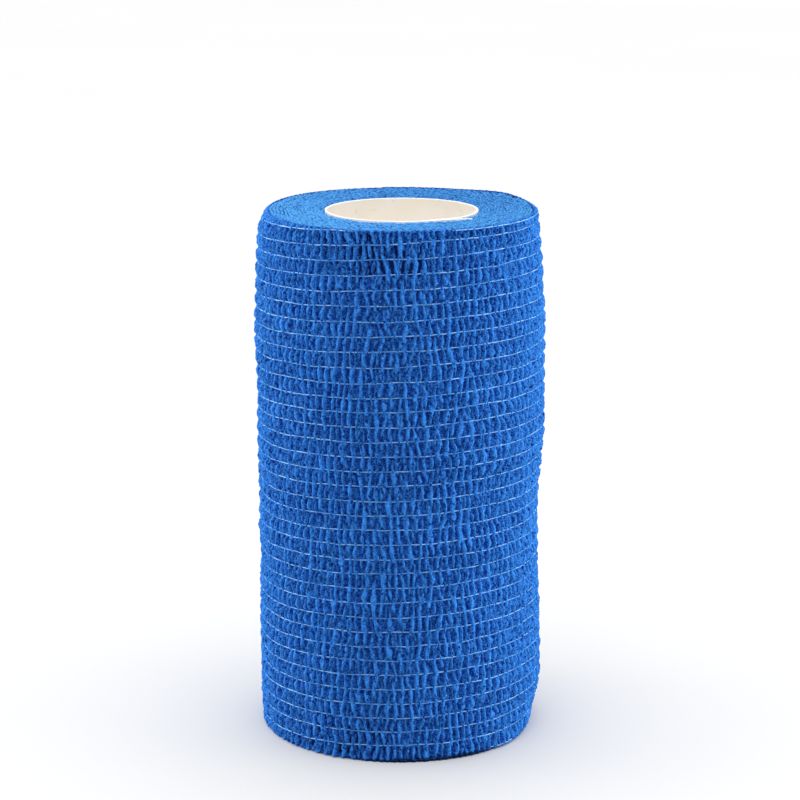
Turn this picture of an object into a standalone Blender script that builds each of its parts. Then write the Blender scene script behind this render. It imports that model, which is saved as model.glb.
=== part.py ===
"""A roll of crinkled elastic bandage, wound on a core of white card and standing on one end.

Metres, +Z up. The origin is on the roll's axis, on the surface that it stands on. +X is the roll's
right side and -Y its front. The strip is wound anticlockwise, seen from above, from the core outwards.
"""

import collections
import math

import bmesh
import bpy

# The wound bandage
WIDTH = 0.100  # of the strip, which is the roll's height
RADIUS = 0.0270  # of the turned form, before it is made uneven
TURN = 0.0006  # thickness of one turn

# Its elastic threads, which lie across the height and pinch the cloth into bands
THREADS = 37
FIRST_THREAD = 0.09958  # height of the highest thread, on the rim
THREAD_PITCH = 0.002775
PINCH = 0.0004  # depth of the cloth at a thread below the middle of a band
SHOULDER = 0.3  # of a band, from its thread to the height where the cloth is at its full radius
THREAD_SLOPE_X = 0.0339  # the threads rise to the right
THREAD_SLOPE_Y = -0.0285  # and fall towards the back
LEVEL_WITHIN = 0.005  # of each cut edge, where the slope fades out

# The strip's cut edges, which are the roll's two end faces
RIM_WIDTH = 0.0013  # of the rounding between an end face and the wall
RIM_DROP = 0.00025  # of its middle from the end face
PressedRim = collections.namedtuple("PressedRim", "inwards azimuth span height reach")
PRESSED_RIMS = (  # where handling has pressed a rim in, the span on either side, and the reach down or up
    PressedRim(inwards=0.0014, azimuth=math.radians(-5.0), span=math.radians(40.0), height=0.0, reach=0.009),
    PressedRim(inwards=0.00115, azimuth=math.radians(182.0), span=math.radians(62.0), height=WIDTH, reach=0.0045),
)

# The strip's outer end, which lies on the turn beneath it at the back
END_AZIMUTH = math.radians(97.5)
END_RUN = math.radians(75.0)  # where the next turn is level with the rest again

# The core
CORE_CENTRE = 0.0003  # to the right of the roll's axis
CORE_RADIUS = 0.0144
CARD = 0.0004
CORE_BASE = 0.0003
CORE_TOP = 0.0998
LAP_START = math.radians(-72.0)
LAP_STEP = 0.00055  # of the inner ply inwards under the outer one
LAP_HELD = math.radians(12.0)
LAP_RISE = math.radians(20.0)
FLAP_START = math.radians(-58.0)
FLAP_DIRECTION = math.radians(14.0)
FLAP_LENGTH = 0.0056

CLEARANCE = 0.0003  # between the core and the bandage
BORE_RADIUS = CORE_RADIUS + CLEARANCE
STEPS_AROUND = 48
CORE_STEP = math.radians(6.0)

Section = collections.namedtuple("Section", "height left right")
SECTIONS = (
    Section(height=0.000, left=0.0269, right=0.0269),
    Section(height=0.012, left=0.0270, right=0.0272),
    Section(height=0.022, left=0.0271, right=0.0271),
    Section(height=0.033, left=0.0270, right=0.0266),
    Section(height=0.040, left=0.0274, right=0.0267),
    Section(height=0.046, left=0.0271, right=0.0266),
    Section(height=0.052, left=0.0271, right=0.0270),
    Section(height=0.057, left=0.0272, right=0.0276),
    Section(height=0.080, left=0.0275, right=0.0275),
    Section(height=0.088, left=0.0272, right=0.0271),
    Section(height=0.094, left=0.0269, right=0.0265),
    Section(height=0.100, left=0.0268, right=0.0261),
)


def eased(value):
    """0 up to 0, 1 from 1 on, and a smooth rise between them."""
    held = min(max(value, 0.0), 1.0)
    return held * held * (3.0 - 2.0 * held)


def clear_scene():
    for obj in list(bpy.data.objects):
        bpy.data.objects.remove(obj)


def collection_named(name):
    made = bpy.data.collections.new(name)
    bpy.context.scene.collection.children.link(made)
    return made


def material(name, colour, roughness):
    made = bpy.data.materials.new(name)
    made.use_nodes = True
    shader = made.node_tree.nodes["Principled BSDF"]
    shader.inputs["Base Color"].default_value = (*colour, 1.0)
    shader.inputs["Roughness"].default_value = roughness
    shader.inputs["Metallic"].default_value = 0.0
    made.diffuse_color = (*colour, 1.0)
    return made


def add_object(name, mesh, collection):
    obj = bpy.data.objects.new(name, mesh)
    collection.objects.link(obj)
    return obj


def as_mesh_object(obj, collection):
    """The object with its modifiers applied, under the same name."""
    graph = bpy.context.evaluated_depsgraph_get()
    mesh = bpy.data.meshes.new_from_object(obj.evaluated_get(graph))
    name = obj.name
    bpy.data.objects.remove(obj)
    mesh.name = name
    return add_object(name, mesh, collection)


def shade_round(obj):
    obj.data.shade_smooth()
    obj.data.set_sharp_from_angle(angle=math.radians(35.0))


def thread_height(index):
    return FIRST_THREAD - index * THREAD_PITCH


def wall_profile():
    """(radius, height) down the outer side, from the upper rim to the lower one."""
    points = [
        (RADIUS - RIM_WIDTH, WIDTH),
        (RADIUS - RIM_WIDTH / 2, WIDTH - RIM_DROP),
    ]
    for index in range(THREADS - 1):
        top = thread_height(index)
        points.append((RADIUS, top - SHOULDER * THREAD_PITCH))
        points.append((RADIUS, top - (1.0 - SHOULDER) * THREAD_PITCH))
        if index < THREADS - 2:
            points.append((RADIUS - PINCH, top - THREAD_PITCH))
    points.append((RADIUS - RIM_WIDTH / 2, RIM_DROP))
    points.append((RADIUS - RIM_WIDTH, 0.0))
    return points


def turned_roll(collection):
    """The roll as an even ring, turned from its profile round the axis."""
    outline = [(BORE_RADIUS, WIDTH)] + wall_profile() + [(BORE_RADIUS, 0.0)]
    form = bmesh.new()
    corners = [form.verts.new((radius, 0.0, height)) for radius, height in outline]
    for first, second in zip(corners, corners[1:] + corners[:1]):
        form.edges.new((first, second))
    mesh = bpy.data.meshes.new("bandage_roll")
    form.to_mesh(mesh)
    form.free()
    roll = add_object("bandage_roll", mesh, collection)
    screw = roll.modifiers.new("turn", "SCREW")
    screw.axis = "Z"
    screw.angle = math.tau
    screw.steps = STEPS_AROUND
    screw.render_steps = STEPS_AROUND
    screw.use_merge_vertices = True
    screw.merge_threshold = 1e-5
    return as_mesh_object(roll, collection)


def section_radius(azimuth, height):
    """The wall's radius there, between the roll's left and right sides."""
    for lower, upper in zip(SECTIONS, SECTIONS[1:]):
        if height <= upper.height:
            break
    share = eased((height - lower.height) / (upper.height - lower.height))
    left = lower.left + (upper.left - lower.left) * share
    right = lower.right + (upper.right - lower.right) * share
    return left + (right - left) * (1.0 + math.cos(azimuth)) / 2


def end_step(azimuth):
    """How far the wall lies in, past the strip's outer end."""
    past = (azimuth - END_AZIMUTH) % math.tau
    return TURN * (1.0 - eased(past / END_RUN)) if past > 1e-3 else 0.0


def pressed_in(azimuth, height):
    """How far the wall is pressed in there, near a rim."""
    inwards = 0.0
    for rim in PRESSED_RIMS:
        aside = abs((azimuth - rim.azimuth + math.pi) % math.tau - math.pi)
        away = abs(height - rim.height)
        inwards += rim.inwards * eased(1.0 - aside / rim.span) * (1.0 - eased(away / rim.reach))
    return inwards


def thread_rise(x, y, height):
    """How far the threads' slope lifts the cloth there. It fades out at the cut edges."""
    from_edge = min(height, WIDTH - height)
    return (THREAD_SLOPE_X * x + THREAD_SLOPE_Y * y) * eased(from_edge / LEVEL_WITHIN)


def make_uneven(roll):
    """Moves the wall to the real roll's radius, the bands to the threads' slope and the bore to the core."""
    for vertex in roll.data.vertices:
        x, y, height = vertex.co
        radius = math.hypot(x, y)
        if radius < (BORE_RADIUS + RADIUS) / 2:
            vertex.co.x += CORE_CENTRE
            continue
        azimuth = math.atan2(y, x)
        moved = section_radius(azimuth, height) - RADIUS - end_step(azimuth) - pressed_in(azimuth, height)
        scale = 1.0 + moved / radius
        vertex.co = (x * scale, y * scale, height + thread_rise(x, y, height))


def flap_root():
    """The point of the card's middle line where the flap leaves the tube."""
    radius = CORE_RADIUS - CARD / 2
    return radius * math.cos(FLAP_START), radius * math.sin(FLAP_START)


def flap_cutter(cutters):
    """The slit that the flap lies in, with the clearance all round it."""
    form = bmesh.new()
    bmesh.ops.create_cube(form, size=1.0)
    bmesh.ops.scale(form, verts=form.verts, vec=(FLAP_LENGTH + CLEARANCE, CARD + 2 * CLEARANCE, 2 * WIDTH))
    mesh = bpy.data.meshes.new("flap_cutter")
    form.to_mesh(mesh)
    form.free()
    cutter = add_object("flap_cutter", mesh, cutters)
    cutter.hide_render = True
    cutter.display_type = "WIRE"
    x, y = flap_root()
    middle = (FLAP_LENGTH + CLEARANCE) / 2
    cutter.location = (
        CORE_CENTRE + x + middle * math.cos(FLAP_DIRECTION),
        y + middle * math.sin(FLAP_DIRECTION),
        0.0,
    )
    cutter.rotation_euler = (0.0, 0.0, FLAP_DIRECTION)
    return cutter


def make_bandage_roll(collection, cutters):
    roll = turned_roll(collection)
    make_uneven(roll)
    slit = roll.modifiers.new("slit", "BOOLEAN")
    slit.operation = "DIFFERENCE"
    slit.object = flap_cutter(cutters)
    shade_round(roll)
    roll.data.materials.append(material("bandage", (0.014, 0.133, 0.591), 0.85))
    return roll


def card_path():
    """(x, y) along the middle line of the card, from its inner end to the flap's tip."""
    points = []
    sweep = FLAP_START + math.tau - LAP_START
    steps = round(sweep / CORE_STEP)
    for index in range(steps + 1):
        turned = sweep * index / steps
        lapped = 1.0 - eased((turned - LAP_HELD) / LAP_RISE)
        radius = CORE_RADIUS - CARD / 2 - LAP_STEP * lapped
        azimuth = LAP_START + turned
        points.append((radius * math.cos(azimuth), radius * math.sin(azimuth)))
    x, y = flap_root()
    for share in (0.5, 1.0):
        along = FLAP_LENGTH * share
        points.append((x + along * math.cos(FLAP_DIRECTION), y + along * math.sin(FLAP_DIRECTION)))
    return points


def make_core(collection):
    form = bmesh.new()
    foot = [form.verts.new((CORE_CENTRE + x, y, CORE_BASE)) for x, y in card_path()]
    edges = [form.edges.new(pair) for pair in zip(foot, foot[1:])]
    raised = bmesh.ops.extrude_edge_only(form, edges=edges)["geom"]
    top = [item for item in raised if isinstance(item, bmesh.types.BMVert)]
    bmesh.ops.translate(form, verts=top, vec=(0.0, 0.0, CORE_TOP - CORE_BASE))
    mesh = bpy.data.meshes.new("core")
    form.to_mesh(mesh)
    form.free()
    core = add_object("core", mesh, collection)
    wall = core.modifiers.new("card", "SOLIDIFY")
    wall.thickness = CARD
    wall.offset = 0.0
    wall.use_even_offset = True
    shade_round(core)
    core.data.materials.append(material("card", (0.87, 0.83, 0.76), 0.6))
    return core


def main():
    clear_scene()
    collection = collection_named("bandage_roll_on_core")
    cutters = collection_named("cutters")
    make_bandage_roll(collection, cutters)
    make_core(collection)


main()
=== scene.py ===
import math

import bmesh
import bpy
import numpy as np
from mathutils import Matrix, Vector


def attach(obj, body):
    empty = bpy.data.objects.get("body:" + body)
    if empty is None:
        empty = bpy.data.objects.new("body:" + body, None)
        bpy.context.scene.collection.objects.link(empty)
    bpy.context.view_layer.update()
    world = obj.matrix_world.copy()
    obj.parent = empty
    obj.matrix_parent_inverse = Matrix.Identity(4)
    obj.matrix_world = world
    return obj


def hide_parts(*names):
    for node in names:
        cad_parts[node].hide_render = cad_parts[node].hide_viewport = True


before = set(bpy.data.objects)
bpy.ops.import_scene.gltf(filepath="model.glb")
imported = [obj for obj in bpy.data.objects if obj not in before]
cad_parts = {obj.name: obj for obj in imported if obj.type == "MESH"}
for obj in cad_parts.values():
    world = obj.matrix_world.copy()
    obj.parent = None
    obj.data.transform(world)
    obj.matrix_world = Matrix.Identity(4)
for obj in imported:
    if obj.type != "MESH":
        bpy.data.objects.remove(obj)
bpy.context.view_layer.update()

# A roll of crinkled elastic bandage on a core of white card, standing on one end.
# Metres, +Z up, the origin on the roll's axis on the floor, the photograph's side at -Y.
# Azimuths are from +X, anticlockwise seen from above, which is also the way the strip is wound.

# The winding, as in the part's source
WIDTH = 0.100  # of the strip
RADIUS = 0.0270
TURN = 0.0006  # thickness of one turn
THREADS = 37
FIRST_THREAD = 0.09958  # height of the highest thread at the roll's axis
THREAD_PITCH = 0.002775
THREAD_SLOPE_X = 0.0339  # the threads rise to the right
THREAD_SLOPE_Y = -0.0285  # and fall towards the back
SLOPE_FAN = 0.0088  # the highest thread's slope is steeper by this, the lowest one's flatter
END_AZIMUTH = math.radians(97.5)  # of the strip's outer end
END_RUN = math.radians(75.0)  # where the next turn is level with the rest again
PRESSED_RIMS = (  # how far a rim is pressed in, its azimuth, the span on either side, height and reach
    (0.0014, math.radians(-5.0), math.radians(40.0), 0.0, 0.009),
    (0.00115, math.radians(182.0), math.radians(62.0), WIDTH, 0.0045),
)
SECTIONS = (  # height, and radius of the ridges on the left and on the right
    (0.000, 0.0269, 0.0269),
    (0.012, 0.0270, 0.0272),
    (0.022, 0.0271, 0.0271),
    (0.033, 0.0270, 0.0266),
    (0.040, 0.0274, 0.0267),
    (0.046, 0.0271, 0.0266),
    (0.052, 0.0271, 0.0270),
    (0.057, 0.0272, 0.0276),
    (0.080, 0.0275, 0.0275),
    (0.088, 0.0272, 0.0271),
    (0.094, 0.0269, 0.0265),
    (0.100, 0.0268, 0.0261),
)

# The core, as in the part's source
CORE_CENTRE = 0.0003
CORE_RADIUS = 0.0144
CARD = 0.0004
CORE_BASE = 0.0003
CORE_TOP = 0.0998
LAP_START = math.radians(-72.0)
LAP_STEP = 0.00055
LAP_HELD = math.radians(12.0)
LAP_RISE = math.radians(20.0)
FLAP_START = math.radians(-58.0)
FLAP_DIRECTION = math.radians(14.0)
FLAP_LENGTH = 0.0056

# The crinkled cloth
CELL = 0.0001  # of the sheets of noise
NOISE_BELOW = 0.004  # how far those sheets reach below the roll's base
RIDGE_PITCH = 0.00150
FINE_PITCH = 0.00078  # of the finer ridges among them
RIDGE_SPREAD = 0.45  # of the ridges' pitch
DEPTH = 0.00096  # of the slots between the ridges, halfway between two threads
DEPTH_AT_THREAD = 0.52  # of that depth
DEPTH_REACH = 0.0009  # from a thread to where the slots have their full depth
PINCH = 0.0004  # how far a thread holds the ridges in
PINCH_AT_EDGE = 0.35  # of that, where a thread lies on a cut edge
PINCH_REACH = 0.0010  # from a thread to where it doesn't hold the ridges in
SWELL_DEPTH = 0.00010
GRAIN_DEPTH = 0.00006
WARP_WIDTH = 0.00013  # how far the ridges wander sideways
WARP_FINE_WIDTH = 0.00007
LEAN = 0.5  # sideways to height, in the patch where the ridges lean over
LEAN_AZIMUTH = math.radians(317.0)
LEAN_SPAN = 0.22
LEAN_HEIGHT = 0.054
LEAN_REACH = 0.007
OUTER_TURN = 0.00105  # thickness of the outermost turn with its ridges
COLUMNS = 1040
NOTCH = 0.00008  # half the width of the step at the strip's outer end
END_WAVES = 0.00035  # of the cut at that end
END_WAVES_REACH = 0.004
END_LIFT = 0.00012  # how far that end stands up
END_LIFT_REACH = 0.002
STATIONS = (0.0, 0.06, 0.16, 0.32, 0.5, 0.68, 0.84, 0.94)  # rows in a band between two threads
WALL_PARTS = ((0, 9), (9, 18), (18, 27), (27, 36))  # the wall's pieces, by their first and last threads
MERGE_DISTANCE = 1e-7

# The outermost turn's cut edges
GAP_WIDTH = 0.00003  # of the gap between the outermost turn and the next
GAPES = (  # where the gap is wider: azimuth, span on either side, and by how much
    (math.radians(232.0), 0.75, 0.00036),
    (math.radians(38.0), 0.60, 0.00026),
)
GAP_FLARE = 0.0001  # how much wider the gap is at its mouth
GAP_DEPTH = 0.0006
STAND_AT_BACK = 0.00032  # how far the upper edge stands above the next turn's, at the back
STAND_AT_RIGHT = 0.00040  # and how much farther at the back right
STAND_AZIMUTH = math.radians(38.0)
STAND_SPAN = math.radians(17.0)
FOOT_AZIMUTH = math.radians(281.0)  # where the lower edge ends just above the floor
FOOT_SPAN = math.radians(42.0)  # on either side
FOOT_FADE = math.radians(24.0)  # within that span
FOOT_SETBACK = 0.00015  # of the wall just above it
FOOT_STEPS = {  # at each lean of the rim: depth within the wall, and height as a share of the lowest thread's
    1.0: (0.00040, 0.0),
    0.8: (0.00020, 0.02),
    0.6: (0.00034, 0.80),
    0.4: (0.00024, 0.92),
    0.2: (0.00006, 0.98),
}
RIM_LEANS = tuple(FOOT_STEPS)

# The threads
THREAD_RADIUS = 0.000105
THREAD_SINK = 0.00028  # of a thread's middle below the ridges that cross it, at the front and the back
SINK_LESS = 0.4  # of that, at the left and right sides
THREAD_WAVE = 0.00006
THREAD_KINK = 0.00003
THREAD_STEPS = 430
THREAD_SIDES = 4
THREAD_TUCKED = 0.0010  # under the strip's outer end
THREAD_OUT = 0.0012  # past it, at most
THREAD_CURL = 0.35  # how steeply its loose end bends in
THREAD_DROOP = 0.4  # and up or down, at most
THREAD_PARTS = ((0, 19), (19, 37))  # the pieces, by their first thread and the first after their last
EDGE_KEPT = 0.00028  # between a thread and the cut edge
SLIPPED_DEPTH = 0.0008  # of a thread that has slipped over a cut edge
UPPER_SLIPPED = math.radians(272.0), 0.62  # azimuth and span of where the highest thread has
LOWER_SHOWING = math.radians(318.0), 0.30  # azimuth and span of where the lowest one hasn't

# The inner turns' cut edges
INNER_TURNS = 18
INNERMOST_TURN = 0.0145  # radius
INNER_LENGTH = 2.4  # of the strip that their noise covers
FACE_HALF = 0.03  # half the width of the end face's sheets of noise
TURNS_INSET = 0.0012  # of the outermost of them from the wall's ridges
TURN_STEPS = 7900
BORE_GAP = 0.00015  # between the core and the innermost turn
THINNEST = 0.00002  # of the strip where it starts at the core
FACE_DROP = 0.00002  # of the upper end face below the strip's full width
CORE_SINK = 0.00034  # of the face at the core
CORE_SINK_REACH = 0.0028
RIM_RISE = 0.00012  # of the face towards the rim
RIM_RISE_START = 0.0150  # radius where it begins
RIM_RISE_REACH = 0.0100
SWAY = 0.00010  # of a turn's upper edge, sideways
SPECK_PITCH = 0.0013
SPECK_SPREAD = 0.6  # of that pitch
GAPING_SHIFT = 7000  # cells of the line of specks to where the gaps between the turns read it
FLAP_GAP = 0.00035  # between the turns and the card's flap
FLAP_HOLLOW = 0.00045  # how far the turns sink beside the flap
TURN_SECTION = (  # across in turns, height from a cut edge, and 1 for the upper edge or 0 for the lower
    (-0.48, -0.00011, 1),
    (-0.37, -0.00003, 1),
    (-0.15, 0.0, 1),
    (0.15, 0.0, 1),
    (0.37, -0.00003, 1),
    (0.48, -0.00011, 1),
    (0.47, 0.00030, 0),
    (0.30, 0.00003, 0),
    (-0.30, 0.00003, 0),
    (-0.47, 0.00030, 0),
)

ROOM_LIGHT = 0.22  # from the white room, against what the camera sees of it
SOFTBOX_COLOUR = (0.96, 1.0, 0.91)

rng = np.random.default_rng(4127)


def eased(value):
    """0 up to 0, 1 from 1 on, and a smooth rise between them."""
    held = np.clip(value, 0.0, 1.0)
    return held * held * (3.0 - 2.0 * held)


def turned_from(azimuth, middle):
    """The angle between the two azimuths, either way round."""
    return np.abs((azimuth - middle + math.pi) % math.tau - math.pi)


# ---------------------------------------------------------------- camera and light


def aim(obj, place, target):
    obj.location = place
    obj.rotation_euler = (Vector(target) - Vector(place)).to_track_quat("-Z", "Y").to_euler()


def add_camera():
    """The photograph's view, found from the roll's outline, its threads and its core."""
    data = bpy.data.cameras.new("camera")
    data.lens = 115.2
    data.sensor_width = 36.0
    data.clip_start = 0.01
    data.clip_end = 20.0
    camera = bpy.data.objects.new("camera", data)
    bpy.context.collection.objects.link(camera)
    camera.location = (0.0, -0.475, 0.1740)
    camera.rotation_euler = (math.radians(76.86), 0.0, 0.0)
    bpy.context.scene.camera = camera


def add_softbox(name, place, width, height, power):
    """A rectangular lamp that faces the roll's middle."""
    data = bpy.data.lights.new(name, "AREA")
    data.shape = "RECTANGLE"
    data.size = width
    data.size_y = height
    data.energy = power
    data.color = SOFTBOX_COLOUR
    lamp = bpy.data.objects.new(name, data)
    bpy.context.collection.objects.link(lamp)
    aim(lamp, place, (0.0, 0.0, 0.05))


def add_overhead_light(power, softness, tilt):
    """Soft light from above and a little behind, even over the whole floor."""
    data = bpy.data.lights.new("overhead", "SUN")
    data.energy = power
    data.angle = softness
    lamp = bpy.data.objects.new("overhead", data)
    bpy.context.collection.objects.link(lamp)
    lamp.rotation_euler = (-tilt, 0.0, 0.0)


def add_studio():
    """A white room that gives little light of its own, a soft overhead light and two softboxes."""
    world = bpy.data.worlds.new("studio")
    world.use_nodes = True
    tree = world.node_tree
    sky = tree.nodes["Background"]
    sky.inputs["Color"].default_value = (1.0, 1.0, 1.0, 1.0)
    paths = tree.nodes.new("ShaderNodeLightPath")
    room = tree.nodes.new("ShaderNodeMapRange")
    room.inputs["To Min"].default_value = ROOM_LIGHT
    room.inputs["To Max"].default_value = 1.0
    tree.links.new(paths.outputs["Is Camera Ray"], room.inputs["Value"])
    tree.links.new(room.outputs["Result"], sky.inputs["Strength"])
    bpy.context.scene.world = world
    add_overhead_light(4.6, math.radians(100.0), math.radians(3.0))
    add_softbox("left_softbox", (-0.62, 0.06, 0.03), 0.30, 0.05, 3.6)
    add_softbox("right_softbox", (0.56, -0.12, 0.03), 0.30, 0.05, 2.9)
    bpy.context.scene.view_settings.view_transform = "Standard"


# ---------------------------------------------------------------- finishes, and the floor


class Value:
    """A socket that holds a number. Arithmetic on it adds Math nodes."""

    def __init__(self, finish, socket):
        self.finish = finish
        self.socket = socket

    def math(self, operation, *numbers, clamp=False):
        inputs = dict(enumerate(numbers))
        return self.finish.node("Math", {"operation": operation, "use_clamp": clamp}, inputs)

    def __add__(self, other):
        return self.math("ADD", self, other)

    def __radd__(self, other):
        return self.math("ADD", other, self)

    def __sub__(self, other):
        return self.math("SUBTRACT", self, other)

    def __rsub__(self, other):
        return self.math("SUBTRACT", other, self)

    def __mul__(self, other):
        return self.math("MULTIPLY", self, other)

    def __rmul__(self, other):
        return self.math("MULTIPLY", other, self)

    def held(self):
        """Kept between 0 and 1."""
        return self.math("ADD", self, 0.0, clamp=True)

    def risen(self, low, high):
        """0 up to low, 1 from high on, and a smooth rise between them."""
        settings = {"interpolation_type": "SMOOTHSTEP"}
        return self.finish.node("MapRange", settings, {"Value": self, "From Min": low, "From Max": high})


class Finish:
    """A material: a Principled shader and the nodes that feed it."""

    def __init__(self, name, **sockets):
        self.material = bpy.data.materials.new(name)
        self.material.use_nodes = True
        self.tree = self.material.node_tree
        self.shader = self.tree.nodes["Principled BSDF"]
        self.use(**sockets)

    def feed(self, node, socket, value):
        entry = node.inputs[socket]
        if isinstance(value, Value):
            self.tree.links.new(value.socket, entry)
        else:
            entry.default_value = value

    def node(self, kind, settings=None, inputs=None, output=0):
        made = self.tree.nodes.new("ShaderNode" + kind)
        for setting, value in (settings or {}).items():
            setattr(made, setting, value)
        for socket, value in (inputs or {}).items():
            self.feed(made, socket, value)
        return Value(self, made.outputs[output])

    def mixed(self, first, second, share):
        """A colour between the first and the second."""
        return self.node("Mix", {"data_type": "RGBA"}, {0: share, 6: first, 7: second}, output=2)

    def place(self):
        return self.node("TexCoord", output="Object")

    def attribute(self, name):
        return self.node("Attribute", {"attribute_name": name}, output="Fac")

    def noise(self, place, scale, detail=2.0, roughness=0.5):
        inputs = {"Vector": place, "Scale": scale, "Detail": detail, "Roughness": roughness}
        return self.node("TexNoise", None, inputs)

    def dots(self, place, scale):
        """Distance from the nearest of many scattered points."""
        return self.node("TexVoronoi", None, {"Vector": place, "Scale": scale}, output="Distance")

    def bump(self, height, strength, depth):
        return self.node("Bump", None, {"Height": height, "Strength": strength, "Distance": depth})

    def use(self, **sockets):
        """Sets or links the shader's own sockets, with _ for a space in their names."""
        for socket, value in sockets.items():
            self.feed(self.shader, socket.replace("_", " "), value)


def cloth_finish(name, slot_shade_colour, ridge_colour, speckle):
    """Blue nonwoven: pale fuzzy ridges, deep slots, and small dents where its fibres are bonded.

    The piece's own "rise" is 1 on a ridge, 0 in a slot and less than 0 under a turn's edge. The colour
    darkens towards the slots as painted shade, and goes near-black as painted shade where the rise is below
    0.
    """
    finish = Finish(name, Sheen_Weight=0.1, Sheen_Roughness=0.4, IOR=1.4)
    finish.use(Sheen_Tint=(0.30, 0.85, 0.95, 1.0), Specular_IOR_Level=0.1)
    place = finish.place()
    rise = finish.attribute("rise")
    fibres = finish.noise(place, 3600.0, 3.0, 0.65)
    mottle = finish.noise(place, 1300.0, 3.0, 0.6)
    cloud = finish.noise(place, 90.0, 2.0, 0.5)
    dents = finish.dots(place, 900.0).risen(0.30, 0.12)
    # Painted shade: the colour runs from the ridge colour down to the darker slot colour as the crest falls.
    pale = 0.17 + rise * 0.7 + (mottle - 0.5) * 1.4 + (fibres - 0.5) * speckle + (cloud - 0.5) * 0.3
    colour = finish.mixed(slot_shade_colour, ridge_colour, (pale - dents * 0.8).held())
    # Painted shade: near-black where the rise is below 0, under a turn's edge and at the bottom of the gaps.
    colour = finish.mixed(colour, (0.0005, 0.008, 0.05, 1.0), (0.0 - rise).held())
    relief = fibres * 0.6 + mottle * 0.8 - dents * 0.6
    finish.use(
        Base_Color=colour,
        Roughness=0.78 + fibres * 0.2,
        Normal=finish.bump(relief, 1.0, 0.00030),
    )
    return finish.material


def thread_finish():
    """Slightly shiny elastic thread, paler than the cloth, and lighter in some patches than in others."""
    finish = Finish("elastic_thread", Specular_IOR_Level=0.6)
    place = finish.place()
    patchiness = finish.noise(place, 420.0, 2.0, 0.6).risen(0.35, 0.7)
    colour = finish.mixed((0.05, 0.24, 0.60, 1.0), (0.28, 0.58, 0.92, 1.0), patchiness)
    finish.use(
        Base_Color=colour,
        Roughness=0.42 + patchiness * 0.12,
        Normal=finish.bump(finish.noise(place, 9000.0), 0.4, 0.00003),
    )
    return finish.material


def card_finish():
    """Smooth white card, cream on its inner side, with scuffs near the upper rim."""
    finish = Finish("white_card", Specular_IOR_Level=0.35)
    place = finish.place()
    height = finish.node("SeparateXYZ", None, {0: place}, output="Z")
    grain = finish.noise(place, 2600.0, 4.0, 0.6)
    cloud = finish.noise(place, 160.0, 2.0, 0.5)
    rim = height.risen(CORE_TOP - 0.0003, CORE_TOP - 0.0001)
    inside = finish.mixed((0.90, 0.83, 0.73, 1.0), (0.93, 0.89, 0.82, 1.0), cloud.risen(0.3, 0.7))
    colour = finish.mixed(inside, (0.94, 0.93, 0.92, 1.0), rim)
    scuffed = finish.noise(place, 700.0, 3.0, 0.7).risen(0.62, 0.72)
    near_rim = height.risen(WIDTH - 0.004, WIDTH - 0.0005)
    colour = finish.mixed(colour, (0.42, 0.36, 0.30, 1.0), scuffed * near_rim * (1 - rim) * 0.5)
    finish.use(
        Base_Color=colour,
        Roughness=0.55 + grain * 0.2,
        Normal=finish.bump(grain + scuffed * 0.5, 0.3, 0.00004),
    )
    return finish.material


def floor_finish():
    finish = Finish("pale_floor", Roughness=0.6, Specular_IOR_Level=0.1)
    cloud = finish.noise(finish.place(), 3.0)
    finish.use(Base_Color=finish.mixed((0.605, 0.605, 0.605, 1.0), (0.625, 0.625, 0.625, 1.0), cloud))
    return finish.material


def add_floor():
    form = bmesh.new()
    bmesh.ops.create_grid(form, x_segments=8, y_segments=8, size=6.0)
    mesh = bpy.data.meshes.new("floor")
    form.to_mesh(mesh)
    form.free()
    floor = bpy.data.objects.new("floor", mesh)
    bpy.context.collection.objects.link(floor)
    mesh.materials.append(floor_finish())


# ---------------------------------------------------------------- sheets of squares


def sheet_of_squares(name, along, across, place, left_out=None, flat_rows=()):
    """A sheet of squares, rolled into a closed form.

    place(i, j) gives the points' places and values from their numbers along and across the sheet.
    Points that come to the same place are merged. left_out(i) is true of steps with no squares between them.
    The squares at the rows of flat_rows are shaded flat.
    """
    form = bmesh.new()
    bmesh.ops.create_grid(form, x_segments=along, y_segments=across, size=1.0)
    at = np.array([vert.co[:] for vert in form.verts])
    i = np.rint((at[:, 0] + 1.0) / 2.0 * along).astype(int)
    j = np.rint((at[:, 1] + 1.0) / 2.0 * across).astype(int)
    points, values = place(i, j)
    layer = form.verts.layers.float.new("rise")
    for vert, point, value in zip(form.verts, points.tolist(), values.tolist()):
        vert.co = point
        vert[layer] = value
    if left_out is not None:
        gone = left_out(i)
        spare = [face for face in form.faces if all(gone[vert.index] for vert in face.verts)]
        bmesh.ops.delete(form, geom=spare, context="FACES")
    flat = np.isin(j, flat_rows)
    for face in form.faces:
        face.smooth = not any(flat[vert.index] for vert in face.verts)
    bmesh.ops.remove_doubles(form, verts=form.verts, dist=MERGE_DISTANCE)
    bmesh.ops.recalc_face_normals(form, faces=form.faces)
    mesh = bpy.data.meshes.new(name)
    form.to_mesh(mesh)
    form.free()
    piece = bpy.data.objects.new(name, mesh)
    bpy.context.collection.objects.link(piece)
    return piece


def ring_points(radius, azimuth, height):
    return np.stack([radius * np.cos(azimuth), radius * np.sin(azimuth), height], axis=-1)


# ---------------------------------------------------------------- noise on the strip


def noise_sheet(rows, columns, kept):
    """Noise with the share of each frequency that kept() gives, and a spread of 1."""
    along = np.fft.rfftfreq(columns, CELL)
    up = np.fft.fftfreq(rows, CELL)[:, None]
    white = rng.standard_normal((rows, columns))
    made = np.fft.irfft2(np.fft.rfft2(white) * kept(along, up), (rows, columns))
    return made / made.std()


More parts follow.
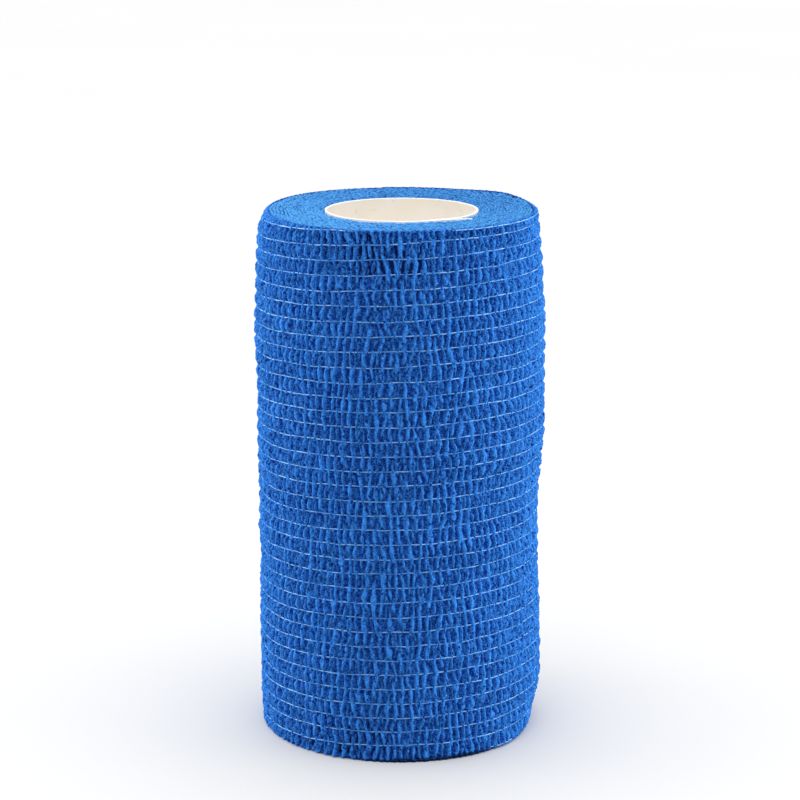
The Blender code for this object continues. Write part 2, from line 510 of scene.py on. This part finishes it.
def sampled(sheet, along, up):
    """The sheet's value there, between its four nearest cells."""
    rows, columns = sheet.shape
    x, y = along / CELL, up / CELL
    left, low = np.floor(x).astype(int), np.floor(y).astype(int)
    share_x, share_y = x - left, y - low

    def cell(step_y, step_x):
        return sheet[(low + step_y) % rows, (left + step_x) % columns]

    lower = cell(0, 0) * (1 - share_x) + cell(0, 1) * share_x
    upper = cell(1, 0) * (1 - share_x) + cell(1, 1) * share_x
    return lower * (1 - share_y) + upper * share_y


def ridges(tall, pitch=RIDGE_PITCH):
    """What to keep of the noise for upright ridges that hold together over that height."""

    def kept(along, up):
        centre = 1.0 / pitch
        return np.exp(-(((along - centre) / (RIDGE_SPREAD * centre)) ** 2) - (up * tall) ** 2)

    return kept


def soft(size):
    """What to keep of the noise for soft blobs of about that size."""
    return lambda along, up: np.exp(-(along**2 + up**2) * size**2)


def soft_line(size):
    """What to keep of the noise for soft waves of about that size along a line."""
    return lambda along, up: np.exp(-((along * size) ** 2))


def specks(along, up):
    """What to keep of the noise for the specks along the inner turns' edges."""
    return np.exp(-(((along - 1 / SPECK_PITCH) / (SPECK_SPREAD / SPECK_PITCH)) ** 2))


STRIP_COLUMNS = int(0.190 / CELL)
STRIP_ROWS = int(0.108 / CELL)
LONG_RIDGES = noise_sheet(STRIP_ROWS, STRIP_COLUMNS, ridges(0.0080))
SHORT_RIDGES = noise_sheet(STRIP_ROWS, STRIP_COLUMNS, ridges(0.0026))
WARP = noise_sheet(STRIP_ROWS, STRIP_COLUMNS, soft(0.0040))
WARP_FINE = noise_sheet(STRIP_ROWS, STRIP_COLUMNS, soft(0.0013))
SWELL = noise_sheet(STRIP_ROWS, STRIP_COLUMNS, soft(0.014))
GRAIN = noise_sheet(STRIP_ROWS, STRIP_COLUMNS, soft(0.0011))
RUMPLE = noise_sheet(STRIP_ROWS, STRIP_COLUMNS, soft(0.0005))
FINE_RIDGES = noise_sheet(STRIP_ROWS, STRIP_COLUMNS, ridges(0.0016, FINE_PITCH))
BAND_RIDGES = np.stack([noise_sheet(1, STRIP_COLUMNS, ridges(0.0))[0] for _ in range(THREADS + 1)])


def band_ridges(along, thread):
    """Each band's own ridges, which blend into the next band's across the thread between them."""
    band = int(thread)
    share = thread - band
    other = band - 1 if share < 0.5 else band + 1
    own = 0.5 + 0.5 * eased(min(share, 1 - share) / 0.35)
    column = along / CELL
    left = np.floor(column).astype(int)
    part = column - left

    def read(number):
        line = BAND_RIDGES[min(max(number + 1, 0), THREADS)]
        return line[left % STRIP_COLUMNS] * (1 - part) + line[(left + 1) % STRIP_COLUMNS] * part

    return read(band) * own + read(other) * (1 - own)


def along_turn(azimuth):
    """How far along the outermost turn that is, from the strip's outer end."""
    return RADIUS * ((azimuth - END_AZIMUTH) % math.tau)


def leaned(along, azimuth, height):
    """The place along the strip whose ridges are there, in a patch where they lean over."""
    aside = (azimuth % math.tau - LEAN_AZIMUTH) / LEAN_SPAN
    above = height - LEAN_HEIGHT
    return along - LEAN * np.exp(-(aside**2) - (above / LEAN_REACH) ** 2) * above


def crest(azimuth, height, thread):
    """1 on the ridges of the crinkled cloth, and 0 in the slots between them."""
    along = along_turn(azimuth)
    up = height + NOISE_BELOW
    warped = (
        leaned(along, azimuth, height)
        + WARP_WIDTH * sampled(WARP, along, up)
        + WARP_FINE_WIDTH * sampled(WARP_FINE, along, up)
    )
    mixed = (
        0.38 * sampled(LONG_RIDGES, warped, up)
        + 0.42 * sampled(SHORT_RIDGES, warped, up)
        + 0.68 * band_ridges(warped, thread)
        + 0.42 * sampled(FINE_RIDGES, warped, up)
        + 0.32 * sampled(RUMPLE, along, up)
    )
    return (0.5 + 0.5 * np.tanh(1.45 * mixed)) ** 1.5


# ---------------------------------------------------------------- the wall


def section_radius(azimuth, height):
    """The radius of the wall's ridges there, between the roll's left and right sides."""
    heights, left, right = (np.array(column) for column in zip(*SECTIONS))
    above = np.clip(np.searchsorted(heights, height), 1, len(heights) - 1)
    below = above - 1
    share = eased((height - heights[below]) / (heights[above] - heights[below]))
    on_left = left[below] + (left[above] - left[below]) * share
    on_right = right[below] + (right[above] - right[below]) * share
    return on_left + (on_right - on_left) * (1.0 + np.cos(azimuth)) / 2


def end_step(azimuth):
    """How far the wall lies in, past the strip's outer end."""
    return TURN * (1.0 - eased(((azimuth - END_AZIMUTH) % math.tau) / END_RUN))


def pressed_in(azimuth, height):
    """How far the wall is pressed in there, near a rim."""
    inwards = 0.0
    for most, middle, span, rim_height, reach in PRESSED_RIMS:
        near_rim = 1.0 - eased(np.abs(height - rim_height) / reach)
        inwards = inwards + most * eased(1.0 - turned_from(azimuth, middle) / span) * near_rim
    return inwards


def wall_radius(azimuth, height):
    """The radius of the wall's ridges there, past the strip's outer end too."""
    return section_radius(azimuth, height) - end_step(azimuth) - pressed_in(azimuth, height)


WAVES = noise_sheet(THREADS, STRIP_COLUMNS, soft_line(0.011))
KINKS = noise_sheet(THREADS, STRIP_COLUMNS, soft_line(0.0025))


def thread_line(azimuth, thread):
    """The height of a whole-numbered thread there, with its slope and slight waves."""
    column = (along_turn(azimuth) / CELL).astype(int)
    slope_x = THREAD_SLOPE_X - SLOPE_FAN * (thread / (0.5 * (THREADS - 1)) - 1.0)
    sloped = RADIUS * (slope_x * np.cos(azimuth) + THREAD_SLOPE_Y * np.sin(azimuth))
    wavy = THREAD_WAVE * WAVES[thread, column] + THREAD_KINK * KINKS[thread, column]
    height = FIRST_THREAD - thread * THREAD_PITCH + sloped + wavy
    return np.clip(height, EDGE_KEPT, WIDTH - EDGE_KEPT)


def held_in(thread):
    """How much a thread pinches the cloth. The two that lie on the cut edges pinch it less."""
    from_edge = np.minimum(thread, THREADS - 1 - thread)
    return PINCH_AT_EDGE + (1.0 - PINCH_AT_EDGE) * eased(from_edge / 1.5)


def column_azimuth(column):
    """The strip's outer end is between the last column and the first."""
    notch = NOTCH / RADIUS
    return END_AZIMUTH + notch + (math.tau - 2 * notch) * column / (COLUMNS - 1)


def gap_width(azimuth):
    """Of the gap between the outermost turn and the next."""
    width = GAP_WIDTH
    for middle, span, more in GAPES:
        width = width + more * eased(1.0 - turned_from(azimuth, middle) / span)
    return width


def rim_stand(azimuth):
    """How far the outermost turn's upper edge stands above the rest."""
    back = eased((np.sin(azimuth) + 0.1) / 0.8)
    back_right = np.exp(-(((azimuth % math.tau - STAND_AZIMUTH) / STAND_SPAN) ** 2))
    return STAND_AT_BACK * back + STAND_AT_RIGHT * back_right


def foot(azimuth):
    """1 where the outermost turn ends just above the floor and the next one shows beneath it. The wall's
    lowest rows there are painted near-black as shade.
    """
    return eased((FOOT_SPAN - turned_from(azimuth, FOOT_AZIMUTH)) / FOOT_FADE)


# The functions down to lower_rim give the radius, the height and the crest along one row of the wall.
# A crest of -1 paints the colour near-black there, as painted shade under an edge.


def wall_face(azimuth, thread):
    """The outer face, at so many threads from the top."""
    upper = min(int(thread), THREADS - 2)
    share = thread - upper
    top, bottom = thread_line(azimuth, upper), thread_line(azimuth, upper + 1)
    height = top + (bottom - top) * share
    from_thread = min(share, 1 - share) * THREAD_PITCH
    raised = crest(azimuth, height, thread)
    pinched = PINCH * held_in(thread) * (1.0 - eased(from_thread / PINCH_REACH))
    depth = DEPTH * (DEPTH_AT_THREAD + (1 - DEPTH_AT_THREAD) * eased(from_thread / DEPTH_REACH))
    along, up = along_turn(azimuth), height + NOISE_BELOW
    radius = (
        wall_radius(azimuth, height)
        - pinched
        - depth * (1.0 - raised)
        + SWELL_DEPTH * sampled(SWELL, along, up)
        + GRAIN_DEPTH * sampled(GRAIN, along, up)
    )
    # Painted shade: at the foot, the lowest rows are set back and painted near-black.
    under = foot(azimuth) * eased((thread - (THREADS - 1.1)) / 0.1)
    return radius - FOOT_SETBACK * under, height, raised * (1.0 - under) - under


def inner_face(azimuth, thread):
    """The inner side of the outermost turn, level with a thread."""
    level = thread_line(azimuth, thread)
    return wall_radius(azimuth, level) - OUTER_TURN, level, 0.0


def gap_bottom(azimuth, height):
    """The bottom of the gap between the outermost turn's edge and the next turn's, painted near-black as
    shade.
    """
    return wall_radius(azimuth, height) - TURNS_INSET + gap_width(azimuth), height, -1.0


def rim_row(azimuth, lean, upper):
    """The rounding between the wall and a cut edge: lean is 0 on the wall and 1 on the edge's top."""
    thread, end, stand = (0, WIDTH, rim_stand(azimuth)) if upper else (THREADS - 1, 0.0, 0.0)
    level = thread_line(azimuth, thread)
    turned = lean * math.pi / 2
    outer = wall_radius(azimuth, level) - PINCH * PINCH_AT_EDGE
    inner = wall_radius(azimuth, end) - TURNS_INSET + gap_width(azimuth) + GAP_FLARE
    height = level + (end + stand - level) * math.sin(turned)
    raised = crest(azimuth, height, float(thread))
    dip = DEPTH * DEPTH_AT_THREAD * (1.0 - raised)
    radius = inner + (outer - inner) * math.cos(turned) - dip * math.cos(turned)
    sunk = 0.15 * dip * math.sin(turned)
    if upper:
        return radius, height - sunk, raised
    height = height + sunk
    within, share = FOOT_STEPS[lean]
    under = foot(azimuth)
    radius = radius + (outer - within - 0.5 * dip - radius) * under
    height = height + (level * share - height) * under
    # Painted shade: at the foot, the lower rim's outer rows are painted near-black.
    dark = under * (lean > 0.5)
    return radius, height, raised * (1.0 - dark) - dark


def upper_rim(azimuth, lean):
    return rim_row(azimuth, lean, upper=True)


def lower_rim(azimuth, lean):
    return rim_row(azimuth, lean, upper=False)


def wall_rows(first, last):
    """What makes each row round the wall between two threads, from above: a function and its value."""
    face = [(wall_face, band + station) for band in range(first, last) for station in STATIONS]
    face.append((wall_face, float(last)))
    above = [(inner_face, first)]
    if first == 0:
        above = [(gap_bottom, WIDTH - GAP_DEPTH)] + [(upper_rim, lean) for lean in RIM_LEANS]
    below = [(inner_face, last)]
    if last == THREADS - 1:
        below = [(lower_rim, lean) for lean in reversed(RIM_LEANS)] + [(gap_bottom, GAP_DEPTH)]
    return above + face + below


def make_wall(name, first, last):
    """The wall between two threads as a closed ring, with the cut edge's rounding where it reaches one."""
    rows = wall_rows(first, last)
    azimuth = column_azimuth(np.arange(COLUMNS))
    made = [row(azimuth, value) for row, value in rows]
    radius, height, rise = (
        np.array([np.broadcast_to(value, azimuth.shape) for value in values]) for values in zip(*made)
    )
    azimuths = azimuth + cut_end_waves(height) * end_nearness(azimuth)
    radius = radius + END_LIFT * end_lift(azimuth)

    def place(i, j):
        found = j % len(rows), i % COLUMNS
        return ring_points(radius[found], azimuths[found], height[found]), rise[found]

    inner_rows = [number for number, (row, _) in enumerate(rows) if row is inner_face]
    return sheet_of_squares(name, COLUMNS, len(rows), place, flat_rows=inner_rows)


def end_nearness(azimuth):
    """1 at the strip's outer end, and 0 farther away on both of its sides."""
    away = np.minimum((azimuth - END_AZIMUTH) % math.tau, (END_AZIMUTH - azimuth) % math.tau)
    return 1.0 - eased(RADIUS * away / END_WAVES_REACH)


def end_lift(azimuth):
    """1 at the strip's very end, where it stands up a little, and 0 farther back along it."""
    before = (END_AZIMUTH - azimuth) % math.tau
    return 1.0 - eased(RADIUS * before / END_LIFT_REACH)


FRAY = noise_sheet(1, STRIP_ROWS, soft_line(0.004))[0]


def cut_end_waves(height):
    """How far round the roll the cut end is from straight, at that height."""
    return END_WAVES / RADIUS * FRAY[np.clip((height / CELL).astype(int), 0, STRIP_ROWS - 1)]


# ---------------------------------------------------------------- the elastic threads


def hidden_thread(azimuth, thread):
    """1 where one of the two outermost threads has slipped over the cut edge, out of sight."""
    upper, lower = (
        eased(1.4 - 2.0 * turned_from(azimuth, middle) / span)
        for middle, span in (UPPER_SLIPPED, LOWER_SHOWING)
    )
    return np.where(thread == 0, upper, np.where(thread == THREADS - 1, 1.0 - lower, 0.0))


def make_threads(name, first, last):
    """Threads in one piece: thin tubes that lie in the pinched lines and cross the slots between ridges."""
    steps = THREAD_STEPS + 1
    lengths = rng.uniform(0.3, 1.0, THREADS)
    droop = rng.uniform(-1.0, 1.0, THREADS)

    def at_end(i):
        return i % steps % THREAD_STEPS == 0

    def place(i, j):
        thread = first + i // steps
        start = -THREAD_TUCKED / RADIUS
        stop = math.tau + THREAD_OUT * lengths[thread] / RADIUS
        turned = start + (stop - start) * (i % steps / THREAD_STEPS)
        azimuth = END_AZIMUTH + turned
        out = np.clip(turned - math.tau, 0.0, None) * RADIUS
        held = END_AZIMUTH + np.clip(turned, 1e-4, math.tau - 1e-4)
        level = thread_line(held, thread)
        radius = (
            section_radius(held, level)
            - np.where(turned < 0, TURN, end_step(held))
            - pressed_in(held, level)
            + SWELL_DEPTH * sampled(SWELL, along_turn(held), level + NOISE_BELOW)
            - SLIPPED_DEPTH * hidden_thread(held, thread)
            - PINCH * held_in(thread)
            - THREAD_SINK * (1.0 - SINK_LESS * np.cos(azimuth) ** 2)
            - THREAD_CURL * out
        )
        level = level + droop[thread] * THREAD_DROOP * out
        size = np.where(at_end(i), 0.0, THREAD_RADIUS)
        corner = (j % THREAD_SIDES) * math.tau / THREAD_SIDES
        points = ring_points(radius + size * np.cos(corner), azimuth, level + size * np.sin(corner))
        return points, np.ones(len(i))

    return sheet_of_squares(name, (last - first) * steps - 1, THREAD_SIDES, place, left_out=at_end)


# ---------------------------------------------------------------- the inner turns


INNER_COLUMNS = round(INNER_LENGTH / CELL)
FACE_CELLS = round(2 * FACE_HALF / CELL)
SPECKS = noise_sheet(1, INNER_COLUMNS, specks)[0]
SPECK_LEVELS = noise_sheet(1, INNER_COLUMNS, soft_line(0.0035))[0]
FACE_BLOBS = noise_sheet(FACE_CELLS, FACE_CELLS, soft(0.0045))
FACE_GRAIN = noise_sheet(FACE_CELLS, FACE_CELLS, soft(0.0010))


def bore_radius(azimuth):
    """From the roll's axis to just outside the core, whose own centre is a little to the right."""
    return CORE_RADIUS + BORE_GAP + CORE_CENTRE * np.cos(azimuth)


def face_level(radius, azimuth):
    """The upper end sinks a little at the core and stands up a little towards the rim."""
    at_core = 1.0 - eased((radius - CORE_RADIUS) / CORE_SINK_REACH)
    towards_rim = eased((radius - RIM_RISE_START) / RIM_RISE_REACH)
    risen = (RIM_RISE + 0.7 * rim_stand(azimuth)) * towards_rim
    return WIDTH - FACE_DROP - CORE_SINK * at_core + risen


def winding():
    """Length along the strip, azimuth, and number of turns outside the core, at each step."""
    turns = np.linspace(0.0, INNER_TURNS, 4000)
    grown = np.diff(turns) * math.tau * (INNERMOST_TURN + TURN * turns[1:])
    lengths = np.concatenate([[0.0], np.cumsum(grown)])
    along = np.linspace(0.0, lengths[-1], TURN_STEPS + 1)
    turned = np.interp(along, lengths, turns)
    whole = np.minimum(np.floor(turned), INNER_TURNS - 1)
    share = turned - whole
    azimuth = END_AZIMUTH + math.tau * share
    stepped = np.where(share < 1.0, 1.0 - end_step(azimuth) / TURN, 1.0)
    moved = share + (stepped - share) * eased(turned / INNER_TURNS)
    return along, azimuth, whole + moved


def turn_radius(azimuth, out, edge, across=0.0):
    """The radius at the strip's upper (1) or lower (0) edge, so many turns across its thickness."""
    level = WIDTH * edge
    outer = section_radius(azimuth, level) - pressed_in(azimuth, level) - TURNS_INSET
    inner = bore_radius(azimuth)
    pitch = (outer - inner) / INNER_TURNS
    return inner + np.maximum(pitch * (out - 0.5 + across), THINNEST * (0.5 + across))


def from_flap(x, y):
    """How far that is past the root of the card's flap, and how far beside it."""
    root_x, root_y = flap_root()
    ahead = (x - root_x) * math.cos(FLAP_DIRECTION) + (y - root_y) * math.sin(FLAP_DIRECTION)
    beside = (y - root_y) * math.cos(FLAP_DIRECTION) - (x - root_x) * math.sin(FLAP_DIRECTION)
    return ahead, abs(beside)


def flap_crosses(x, y):
    """True where the card's flap lies across the turns."""
    ahead, beside = from_flap(x, y)
    return (beside < CARD / 2 + FLAP_GAP) & (ahead > -0.003) & (ahead < FLAP_LENGTH + 0.0003)


def hollow_at_flap(x, y):
    """How far the upper end sinks there, beside the card's flap."""
    ahead, beside = from_flap(x, y)
    near_flap = eased((ahead + 0.0020) / 0.0010) * eased((FLAP_LENGTH + 0.0012 - ahead) / 0.0008)
    return FLAP_HOLLOW * near_flap * eased(1.7 - beside / 0.0011)


def read_line(line, along, shift=0):
    """The values of a line of noise there, or so many cells farther on."""
    return line[((along / CELL).astype(int) + shift) % line.size]


def make_inner_turns(name):
    """The strip's inner turns as one long strip wound from the core outwards.

    It is parted where the card's flap crosses it, and narrows to nothing at each end.
    """
    along, azimuth, out = winding()
    middle = turn_radius(azimuth, out, 1)
    x, y = middle * np.cos(azimuth), middle * np.sin(azimuth)
    crossed = flap_crosses(x, y)
    ended = crossed & ~(np.roll(crossed, 1) & np.roll(crossed, -1))
    ended[[0, -1]] = True

    blobs = sampled(FACE_BLOBS, x + FACE_HALF, y + FACE_HALF)
    grain = sampled(FACE_GRAIN, x + FACE_HALF, y + FACE_HALF)
    speck = 0.5 + 0.5 * np.tanh(1.2 * read_line(SPECKS, along))
    gaping = 0.5 + 0.5 * np.tanh(1.5 * read_line(SPECKS, along, GAPING_SHIFT))
    settled = read_line(SPECK_LEVELS, along)
    sway = SWAY * blobs * eased((middle - CORE_RADIUS) / 0.0030)
    # Painted light: the end face is made paler towards the front left and darker towards the back right.
    painted_front_left_light = 0.24 * np.cos(azimuth - math.radians(225.0))
    lowered = 0.00016 * (1.0 - speck) + 0.00004 * (1 - settled) + 0.00006 * (1.0 - grain)
    top = face_level(middle, azimuth) - hollow_at_flap(x, y) - np.clip(lowered, 0.0, 0.0005)
    pale = 0.35 + 0.5 * speck + 0.12 * grain + painted_front_left_light

    radii, heights, rises = [], [], []
    for across, rise, edge in TURN_SECTION:
        thinned = np.where(ended, 0.0, across * (0.76 + 0.24 * speck))
        radii.append(turn_radius(azimuth, out, edge, thinned) + edge * sway)
        rounded = top + rise * (1.6 - 0.6 * speck) * (0.3 + gaping)
        heights.append(rounded if edge else np.full(azimuth.shape, rise))
        # Painted shade: the points down in the gaps between turns are darker where the gaps open wider.
        in_gap = rise < -0.0001
        rises.append(np.clip(pale * (1.0 - 0.7 * gaping) if in_gap else pale, 0.0, 1.2))
    radii, heights, rises = np.array(radii), np.array(heights), np.array(rises)

    def place(i, j):
        found = j % len(TURN_SECTION), i
        return ring_points(radii[found], azimuth[i], heights[found]), rises[found]

    return sheet_of_squares(name, TURN_STEPS, len(TURN_SECTION), place, left_out=lambda i: crossed[i])


# ---------------------------------------------------------------- the core


def flap_root():
    """The point of the card's middle line where the flap leaves the tube."""
    radius = CORE_RADIUS - CARD / 2
    return CORE_CENTRE + radius * math.cos(FLAP_START), radius * math.sin(FLAP_START)


def card_path():
    """(x, y) along the middle line of the card, from its inner end to the flap's tip."""
    sweep = FLAP_START + math.tau - LAP_START
    turned = np.linspace(0.0, sweep, 190)
    radius = CORE_RADIUS - CARD / 2 - LAP_STEP * (1.0 - eased((turned - LAP_HELD) / LAP_RISE))
    points = list(zip(CORE_CENTRE + radius * np.cos(LAP_START + turned), radius * np.sin(LAP_START + turned)))
    x, y = flap_root()
    for share in (0.33, 0.67, 1.0):
        along = FLAP_LENGTH * share
        points.append((x + along * math.cos(FLAP_DIRECTION), y + along * math.sin(FLAP_DIRECTION)))
    return points


def make_core(name):
    """The card's middle line drawn upwards, with the card's thickness added on both of its sides."""
    form = bmesh.new()
    base = [form.verts.new((x, y, CORE_BASE)) for x, y in card_path()]
    edges = [form.edges.new(pair) for pair in zip(base, base[1:])]
    raised = bmesh.ops.extrude_edge_only(form, edges=edges)["geom"]
    top = [item for item in raised if isinstance(item, bmesh.types.BMVert)]
    bmesh.ops.translate(form, verts=top, vec=(0.0, 0.0, CORE_TOP - CORE_BASE))
    mesh = bpy.data.meshes.new(name)
    form.to_mesh(mesh)
    form.free()
    piece = bpy.data.objects.new(name, mesh)
    bpy.context.collection.objects.link(piece)
    wall = piece.modifiers.new("card", "SOLIDIFY")
    wall.thickness = CARD
    wall.offset = 0.0
    wall.use_even_offset = True
    rounding = piece.modifiers.new("rounding", "BEVEL")
    rounding.width = 0.00008
    rounding.segments = 2
    rounding.limit_method = "ANGLE"
    rounding.angle_limit = math.radians(50.0)
    for face in mesh.polygons:
        face.use_smooth = True
    return piece


# ---------------------------------------------------------------- all pieces


def dressed(piece, finish, node):
    """Gives a piece its finish, attaches it to the root body and hides the part's solid that it stands for.
    """
    piece.data.materials.append(finish)
    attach(piece, "root")
    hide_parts(node)


add_camera()
add_studio()
add_floor()
cloth = cloth_finish(
    "bandage_cloth",
    slot_shade_colour=(0.003, 0.033, 0.26, 1.0),
    ridge_colour=(0.036, 0.228, 0.73, 1.0),
    speckle=4.3,
)
cut_cloth = cloth_finish(
    "bandage_cut_edges",
    slot_shade_colour=(0.018, 0.11, 0.39, 1.0),
    ridge_colour=(0.080, 0.345, 0.75, 1.0),
    speckle=3.5,
)
elastic = thread_finish()
card = card_finish()
for number, (first, last) in enumerate(WALL_PARTS, 1):
    dressed(make_wall(f"cloth_wall_{number}", first, last), cloth, "bandage_roll")
dressed(make_inner_turns("inner_turns"), cut_cloth, "bandage_roll")
for number, (first, last) in enumerate(THREAD_PARTS, 1):
    dressed(make_threads(f"elastic_threads_{number}", first, last), elastic, "bandage_roll")
dressed(make_core("card_tube"), card, "core")
